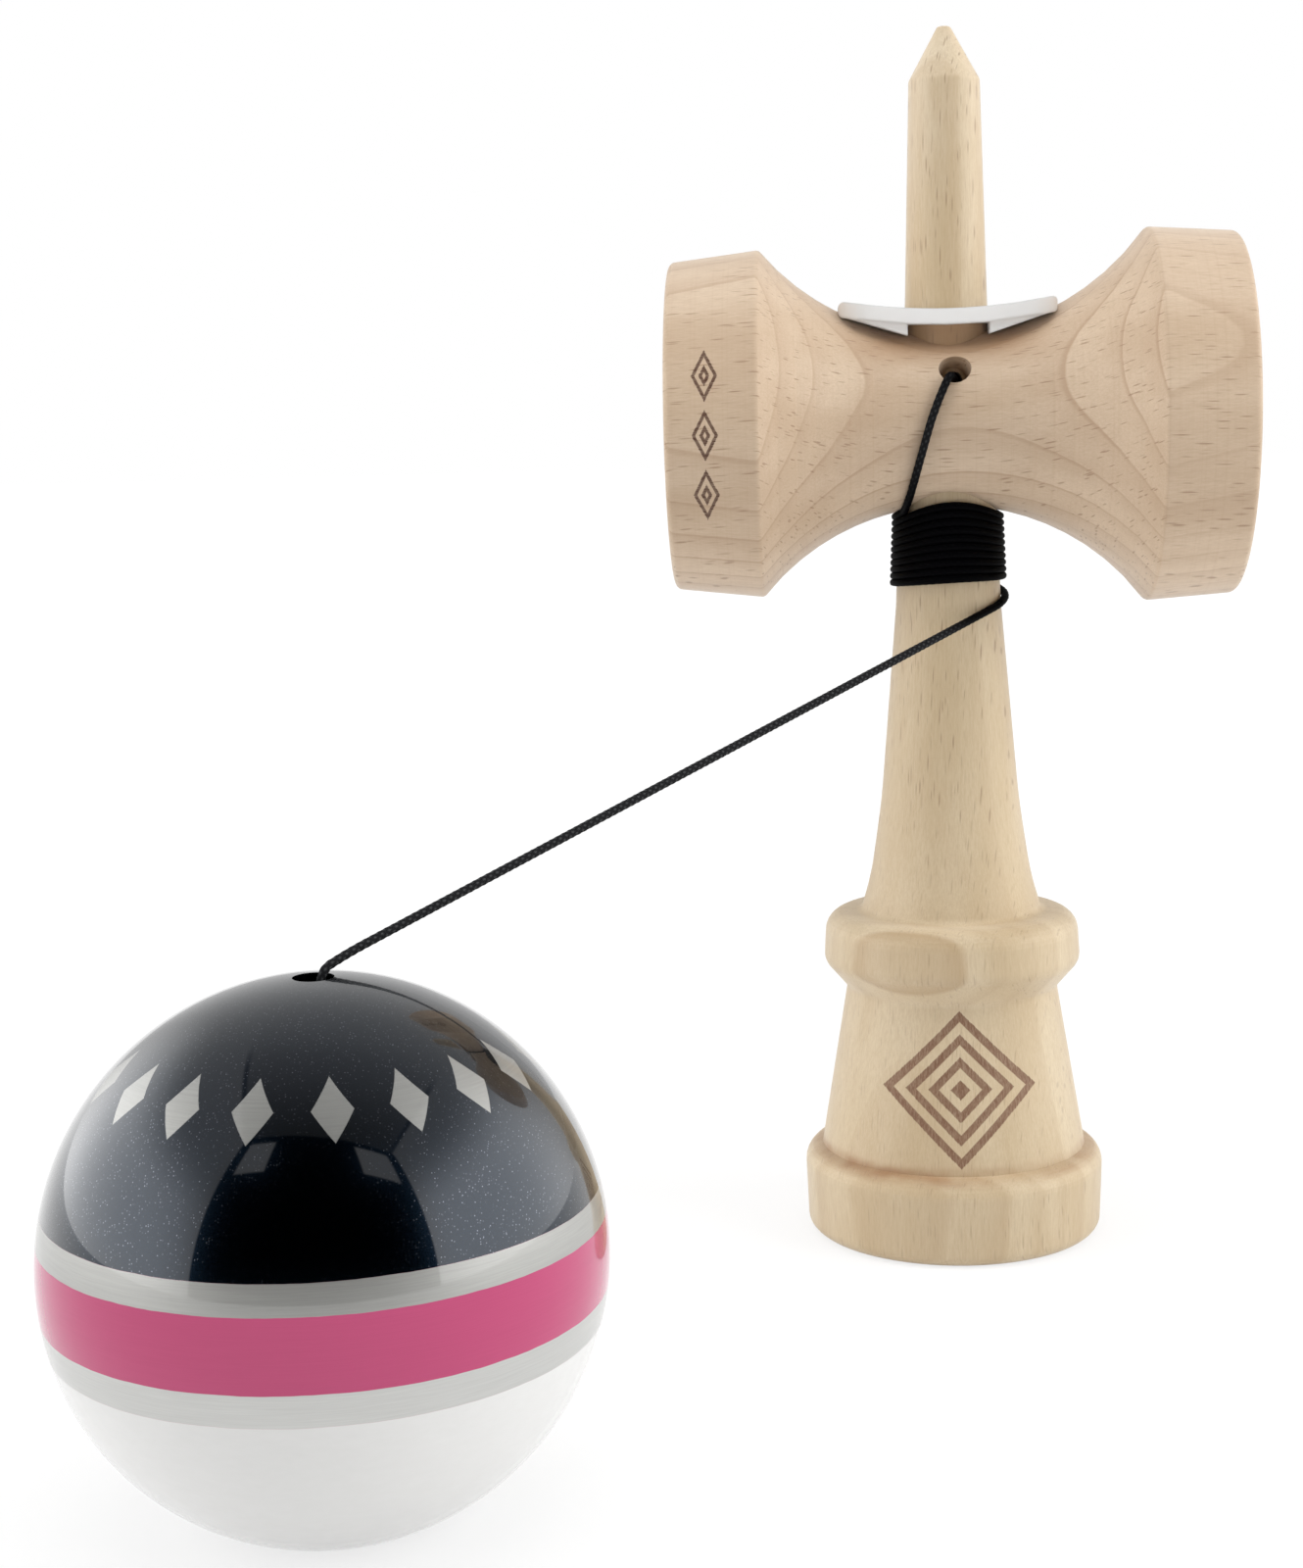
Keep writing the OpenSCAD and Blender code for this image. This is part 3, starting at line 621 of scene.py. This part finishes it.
def make_clip_plastic():
    material, tree, shader, place = new_material("clip_plastic")
    cloud = noise(tree, place, 0.35)
    skin = noise(tree, place, 9.0, 2.0)
    colour = tint(tree, cloud, (0.85, 0.85, 0.84), (0.89, 0.89, 0.885))
    rough = step(tree, weigh(tree, cloud, 0.5, skin, 0.5), 0.3, 0.7, 0.30, 0.42)
    soft_edge = put(tree, "Bevel", {"Radius": 0.0006}, samples=6).outputs[0]
    bump = put(tree, "Bump", {"Strength": 0.12, "Distance": 0.00005, "Height": skin, "Normal": soft_edge})
    feed(tree, shader, Base_Color=colour, Roughness=rough, Normal=bump.outputs[0])
    return material


def make_bead_plastic():
    material, tree, shader, place = new_material("bead_plastic")
    swirl = noise(tree, place, (0.8, 0.8, 0.3))
    colour = tint(tree, swirl, (0.74, 0.72, 0.66), (0.82, 0.80, 0.75))
    feed(tree, shader, Base_Color=colour, Roughness=step(tree, swirl, 0.3, 0.7, 0.2, 0.32))
    return material


# How far from the handle's middle the string is no longer packed
PACKED_R = (9.0, 15.0)


def make_string_black():
    material, tree, shader, place = new_material("string_black")
    fibre = noise(tree, place, 9.0, 4.0, 0.65)
    fuzz = step(tree, noise(tree, place, 22.0, 1.0), 0.58, 0.75)
    colour = tint(tree, fibre, (0.005, 0.005, 0.006), (0.018, 0.0185, 0.02))
    # Painted highlight on the braid's crowns, with the valleys left darker as painted shade
    crown = step(tree, put(tree, "Attribute", attribute_name="crown").outputs["Fac"], 0.35, 0.9)
    colour = tint(tree, crown, colour, (0.052, 0.054, 0.056))
    colour = tint(tree, times(tree, fuzz, 0.4), colour, (0.08, 0.08, 0.083))
    # Packed and blacker in the winding, greyer where it hangs free
    x, y, _ = split(tree, place)
    packed = fade(tree, vec(tree, "LENGTH", join(tree, x, y, 0.0)), *PACKED_R, 0.97)
    colour = tint(tree, packed, colour, (0.0005, 0.0005, 0.001))
    bump = put(tree, "Bump", {"Strength": 0.4, "Distance": 0.00006, "Height": fibre})
    feed(tree, shader, Base_Color=colour, Roughness=step(tree, fibre, 0.3, 0.7, 0.5, 0.68),
         Normal=bump.outputs[0], Specular_IOR_Level=0.03)
    return material


# Heights over the ball's middle where one paint ends and the next begins, from the cap down
PAINT_LEVELS, PAINT_EDGE = (7.2, 4.1, -3.55, -7.0), 0.03
# The cap's lozenges: their number, the height of their middles, and their reach up and round
CAP_MARKS, CAP_MARK_H, CAP_MARK_UP, CAP_MARK_SHARE = 17, 21.4, 2.6, 0.27
# Where the paint's skin begins, and how far it has run into the hole at the top
PAINT_SKIN_R, PAINT_RUN_H, PAINT_RUN_R = (29.55, 29.8), (20.0, 21.0), (26.2, 27.4)


def make_ball_paint():
    material, tree, shader, place = new_material("ball_paint")
    local = vec(tree, "SUBTRACT", place, (*BALL_AT, BALL_Z))
    x, y, h = split(tree, local)
    # The lines wander a little. Each mask is all that lies above a line's edge
    wander = times(tree, minus(tree, noise(tree, local, 0.25, 2.0), 0.5), 0.16)
    level = plus(tree, h, wander)
    black, pink_top, pink_low, white_top = [step(tree, level, at - PAINT_EDGE, at + PAINT_EDGE)
                                            for at in PAINT_LEVELS]
    lines = calc(tree, "ADD", minus(tree, pink_top, black), minus(tree, white_top, pink_low), clamp=True)
    # A ring of silver lozenges on the cap
    around = times(tree, calc(tree, "ARCTAN2", y, x), CAP_MARKS / math.tau)
    cell = minus(tree, calc(tree, "FRACT", plus(tree, around, 100.0)), 0.5)
    reach = lozenge_reach(tree, cell, CAP_MARK_SHARE, minus(tree, h, CAP_MARK_H), CAP_MARK_UP)
    silver = most(tree, lines, fade(tree, reach, 0.97, 1.03))
    # Black with fine metal flakes under the clear coat
    flake = put(tree, "TexVoronoi", {"Vector": local, "Scale": 3.6}).outputs
    bright = times(tree, step(tree, split(tree, flake["Color"])[0], 0.40, 1.0),
                   fade(tree, flake["Distance"], 0.10, 0.34))
    cap = tint(tree, noise(tree, local, 3.0, 4.0, 0.7), (0.003, 0.008, 0.016), (0.010, 0.018, 0.030))
    cap = tint(tree, times(tree, bright, 0.55), cap, (0.30, 0.32, 0.37))
    # Silver, lighter in the lower line, and pink, both with faint brush strokes
    brush = noise(tree, local, (0.16, 0.16, 9.0), 3.0, 0.6)
    metal = tint(tree, pink_low, tint(tree, brush, (0.49, 0.49, 0.475), (0.64, 0.645, 0.625)),
                 tint(tree, brush, (0.335, 0.335, 0.32), (0.46, 0.46, 0.44)))
    pink = tint(tree, brush, (0.462, 0.043, 0.146), (0.512, 0.054, 0.168))
    white = tint(tree, noise(tree, local, (0.5, 0.5, 1.4), 4.0, 0.6), (0.725, 0.725, 0.71),
                 (0.77, 0.77, 0.76))
    colour = tint(tree, white_top, white, pink)
    colour = tint(tree, black, colour, cap)
    colour = tint(tree, silver, colour, metal)
    # Bare wood inside the hole, with the paint run a little way in at the top
    depth = vec(tree, "LENGTH", local)
    painted = most(tree, step(tree, depth, *PAINT_SKIN_R),
                   times(tree, step(tree, h, *PAINT_RUN_H), step(tree, depth, *PAINT_RUN_R)))
    wood = use(tree, beech_figure, Place=local, Ring_width=3.2, Ring_shift=0.4, Pith_far=60.0)
    bare = tint(tree, wood["Tone"], (0.46, 0.33, 0.20), (0.58, 0.44, 0.28))
    bare = tint(tree, times(tree, wood["Ring"], 0.6), bare, (0.34, 0.22, 0.12))
    bare = tint(tree, times(tree, wood["Fleck"], 0.7), bare, (0.17, 0.09, 0.05))
    colour = tint(tree, painted, bare, colour)
    rough = tint(tree, painted, (0.75,) * 3, tint(tree, silver, (0.24,) * 3, (0.48,) * 3))
    metallic = times(tree, tint(tree, silver, black, (0.8,) * 3), painted)
    relief = weigh(tree, silver, 0.25, wander, 0.6)
    bump = put(tree, "Bump", {"Strength": 0.25, "Distance": 0.00006, "Height": relief})
    feed(tree, shader, Base_Color=colour, Roughness=rough, Coat_Weight=painted, Coat_Roughness=0.035,
         Metallic=metallic, Normal=bump.outputs[0], Specular_IOR_Level=0.05)
    return material


# Dress the carried-over parts

def dress(node, material):
    slots = parts[node].data.materials
    slots.clear()
    slots.append(material)


string_black = make_string_black()
for node, material in (("ken", make_handle_beech()), ("barrel", make_barrel_beech()),
                       ("spike_clip", make_clip_plastic()), ("ball_bead", make_bead_plastic()),
                       ("ball", make_ball_paint())):
    dress(node, material)

# Lay the string: one route, cut where the joints bend it

points, wind_from, leave, heading, mouth = string_route()
route = evenly(points, RING_STEP)
# Each bend lies half before and half after its pivot on the heading
TURN_PIVOT, TURN_HALF, LIFT_PIVOT, LIFT_HALF = 1.05, 1.5, 9.35, 3.0
# Cuts: a little before the first bend, between it and the second, and before the ball. The third bend
# starts after the last cut
CUT_BEFORE, CUT_BETWEEN, CUT_BALL, BALL_BEND_AFTER = 0.5, 4.5, 6.0, 2.0
marks = [nearest_along(route, q) for q in (wind_from, leave, mouth)]
_, leave_at, mouth_at = marks
cuts = [leave_at + TURN_PIVOT - TURN_HALF - CUT_BEFORE, leave_at + CUT_BETWEEN, mouth_at - CUT_BALL]
stretches, first = [], 0
for cut in [*cuts, route[-1][0]]:
    last = max(i for i, q in enumerate(route) if q[0] <= cut + 1e-9)
    stretches.append(route[first:last + 1])
    first = last
names = ("string_winding", "string_neck_turn", "string_span_free", "string_ball_end")
winding, neck_turn, span, ball_end = [braid(n, r, marks, string_black) for n, r in zip(names, stretches)]


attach(winding, "handle")
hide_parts("string_lead", "string_wrap")
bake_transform(neck_turn)
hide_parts("string_turn")
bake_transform(span)
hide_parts("string_span")
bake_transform(ball_end)
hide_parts("string_drop")

stem_knot = stopper_knot("knot_in_stem", (STRING_HOLE_X, STEM_KNOT_Y, STRING_HOLE_Z), (0, 1, 0), STEM_KNOT_D,
                         string_black)
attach(stem_knot, "handle")
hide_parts("anchor_knot")
bead_knot = stopper_knot("knot_under_bead", (*BALL_AT, END_KNOT_Z), (0, 0, 1), END_KNOT_D, string_black)
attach(bead_knot, "string_end")
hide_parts("end_knot")

# Floor and light

WHITE, FLOOR_PALE = (1, 1, 1), (0.86, 0.86, 0.86)
# The floor shows its shadows near the part and is plain white further off
SHADOW_MIDDLE, SHADOW_NEAR, SHADOW_FAR, SHADOW_WHITE = (-0.03, -0.04, 0.0), 0.12, 0.30, 0.72
FLOOR_DROP, FLOOR_HALF, FLOOR_LIGHT = 0.00005, 6, 1.06


def make_floor():
    mesh = bpy.data.meshes.new("floor")
    build = bmesh.new()
    bmesh.ops.create_grid(build, x_segments=1, y_segments=1, size=FLOOR_HALF)
    build.to_mesh(mesh)
    build.free()
    floor = bpy.data.objects.new("floor", mesh)
    floor.location.z = -FLOOR_DROP
    scene.collection.objects.link(floor)
    material = bpy.data.materials.new("pale_floor")
    material.use_nodes = True
    tree = material.node_tree
    tree.nodes.clear()
    path = put(tree, "LightPath").outputs
    place = put(tree, "NewGeometry").outputs["Position"]
    away = vec(tree, "DISTANCE", place, SHADOW_MIDDLE)
    clear = plus(tree, path["Is Glossy Ray"], path["Is Transmission Ray"])
    direct = calc(tree, "ADD", path["Is Camera Ray"], clear, clamp=True)
    seen = times(tree, direct, step(tree, away, SHADOW_NEAR, SHADOW_FAR, SHADOW_WHITE, 1.0))
    pale = put(tree, "BsdfDiffuse", {"Color": FLOOR_PALE}).outputs[0]
    white = put(tree, "Emission", {"Color": WHITE, "Strength": FLOOR_LIGHT}).outputs[0]
    mixed = put(tree, "MixShader", {0: seen, 1: pale, 2: white}).outputs[0]
    put(tree, "OutputMaterial", {0: mixed})
    mesh.materials.append(material)


# In shiny surfaces the surround is a white tent. Its open front and the two sheets in it are given as slopes
# off straight ahead: left, right, low and high; the seams along its ceiling as slopes off straight up
OPEN_FRONT, SHEETS = (-0.9, 1.5, -9.0, 2.15), ((-0.75, -0.38, 1.22, 1.92), (0.70, 1.28, 1.30, 1.98))
LEFT_SEAM, RIGHT_SEAM = (1, 0, 0.43), (-1, 0, 0.66)
SHEET_LIGHT, WALL_LIGHT, WALL_BRIGHTER, SEAM_DARK = 0.85, 0.66, 1.75, 0.75
CEILING_FRONT, CEILING_BACK = 0.08, 0.62
# On all other surfaces the surround is white and dark towards the front
SHADE_LIGHT, DARK_WAY, DARK_EDGE, DARK_SHARE = 0.62, (0.03, -1.0, 0.30), (0.60, 0.70), 0.05


def off_plane(tree, way, normal):
    """How far a way points off a plane."""
    return vec(tree, "DOT_PRODUCT", way, tuple(Vector(normal).normalized()))


def pane(tree, way, left, right, low, high):
    """A mask of the ways that pass through a pane in the tent's front."""
    sides = ((1, left, 0), (-1, -right, 0), (0, low, 1), (0, -high, -1))
    return times(tree, *[step(tree, off_plane(tree, way, side), -0.006, 0.012) for side in sides])


def tent_light(tree, way):
    """What shiny surfaces mirror: bright walls, a dim ceiling with seams, a black front and sheets in it."""
    x, y, z = split(tree, way)
    bright = times(tree, step(tree, size_of(tree, x), 0.45, 0.9), fade(tree, z, 0.45, 0.8))
    walls = plus(tree, WALL_LIGHT, times(tree, bright, WALL_BRIGHTER))
    ceiling, seams = fade(tree, y, 0.2, 0.6), 0.0
    for seam in (LEFT_SEAM, RIGHT_SEAM):
        off = off_plane(tree, way, seam)
        ceiling = times(tree, ceiling, step(tree, off, -0.02, 0.02))
        seams = plus(tree, seams, fade(tree, size_of(tree, off), 0.004, 0.022, SEAM_DARK))
    seams = times(tree, seams, fade(tree, y, 0.1, 0.4))
    tent = tint(tree, ceiling, walls, step(tree, y, -0.65, 0.6, CEILING_FRONT, CEILING_BACK))
    tent = times(tree, tent, minus(tree, 1.0, seams))
    closed = minus(tree, 1.0, pane(tree, way, *OPEN_FRONT))
    sheets = plus(tree, *[pane(tree, way, *sheet) for sheet in SHEETS])
    return plus(tree, times(tree, tent, closed), times(tree, sheets, SHEET_LIGHT))


def make_surround():
    """White all round and above, darker towards the front, where the photographer stands."""
    world = bpy.data.worlds.new("studio")
    scene.world = world
    world.use_nodes = True
    tree = world.node_tree
    tree.nodes.clear()
    way = put(tree, "TexCoord").outputs["Generated"]
    level = step(tree, off_plane(tree, way, DARK_WAY), *DARK_EDGE, 1.0, DARK_SHARE)
    shade, gloss, white = [put(tree, "Background", {"Color": WHITE, "Strength": strength}).outputs[0]
                           for strength in (times(tree, level, SHADE_LIGHT), tent_light(tree, way), 1.0)]
    path = put(tree, "LightPath").outputs
    shiny = calc(tree, "ADD", path["Is Glossy Ray"], path["Is Transmission Ray"], clamp=True)
    mixed = put(tree, "MixShader", {0: shiny, 1: shade, 2: gloss}).outputs[0]
    mixed = put(tree, "MixShader", {0: path["Is Camera Ray"], 1: mixed, 2: white}).outputs[0]
    put(tree, "OutputWorld", {0: mixed})


def make_lamp(name, place, at, size, power):
    data = bpy.data.lights.new(name, "AREA")
    data.shape, data.size, data.size_y, data.energy = "RECTANGLE", size[0], size[1], power
    lamp = bpy.data.objects.new(name, data)
    lamp.location = place
    lamp.visible_glossy = False
    lamp.rotation_euler = (Vector(at) - Vector(place)).to_track_quat("-Z", "Y").to_euler()
    scene.collection.objects.link(lamp)


make_floor()
make_surround()
MIDDLE = (-0.03, -0.04, 0.08)
make_lamp("left_softbox", (-0.85, -0.35, 0.45), MIDDLE, (0.7, 0.9), 4.3)
make_lamp("right_softbox", (0.85, -0.30, 0.50), MIDDLE, (0.7, 0.9), 6.3)
make_lamp("top_softbox", (0.0, -0.15, 1.0), MIDDLE, (0.9, 0.9), 5.0)
scene.view_settings.view_transform = "Standard"
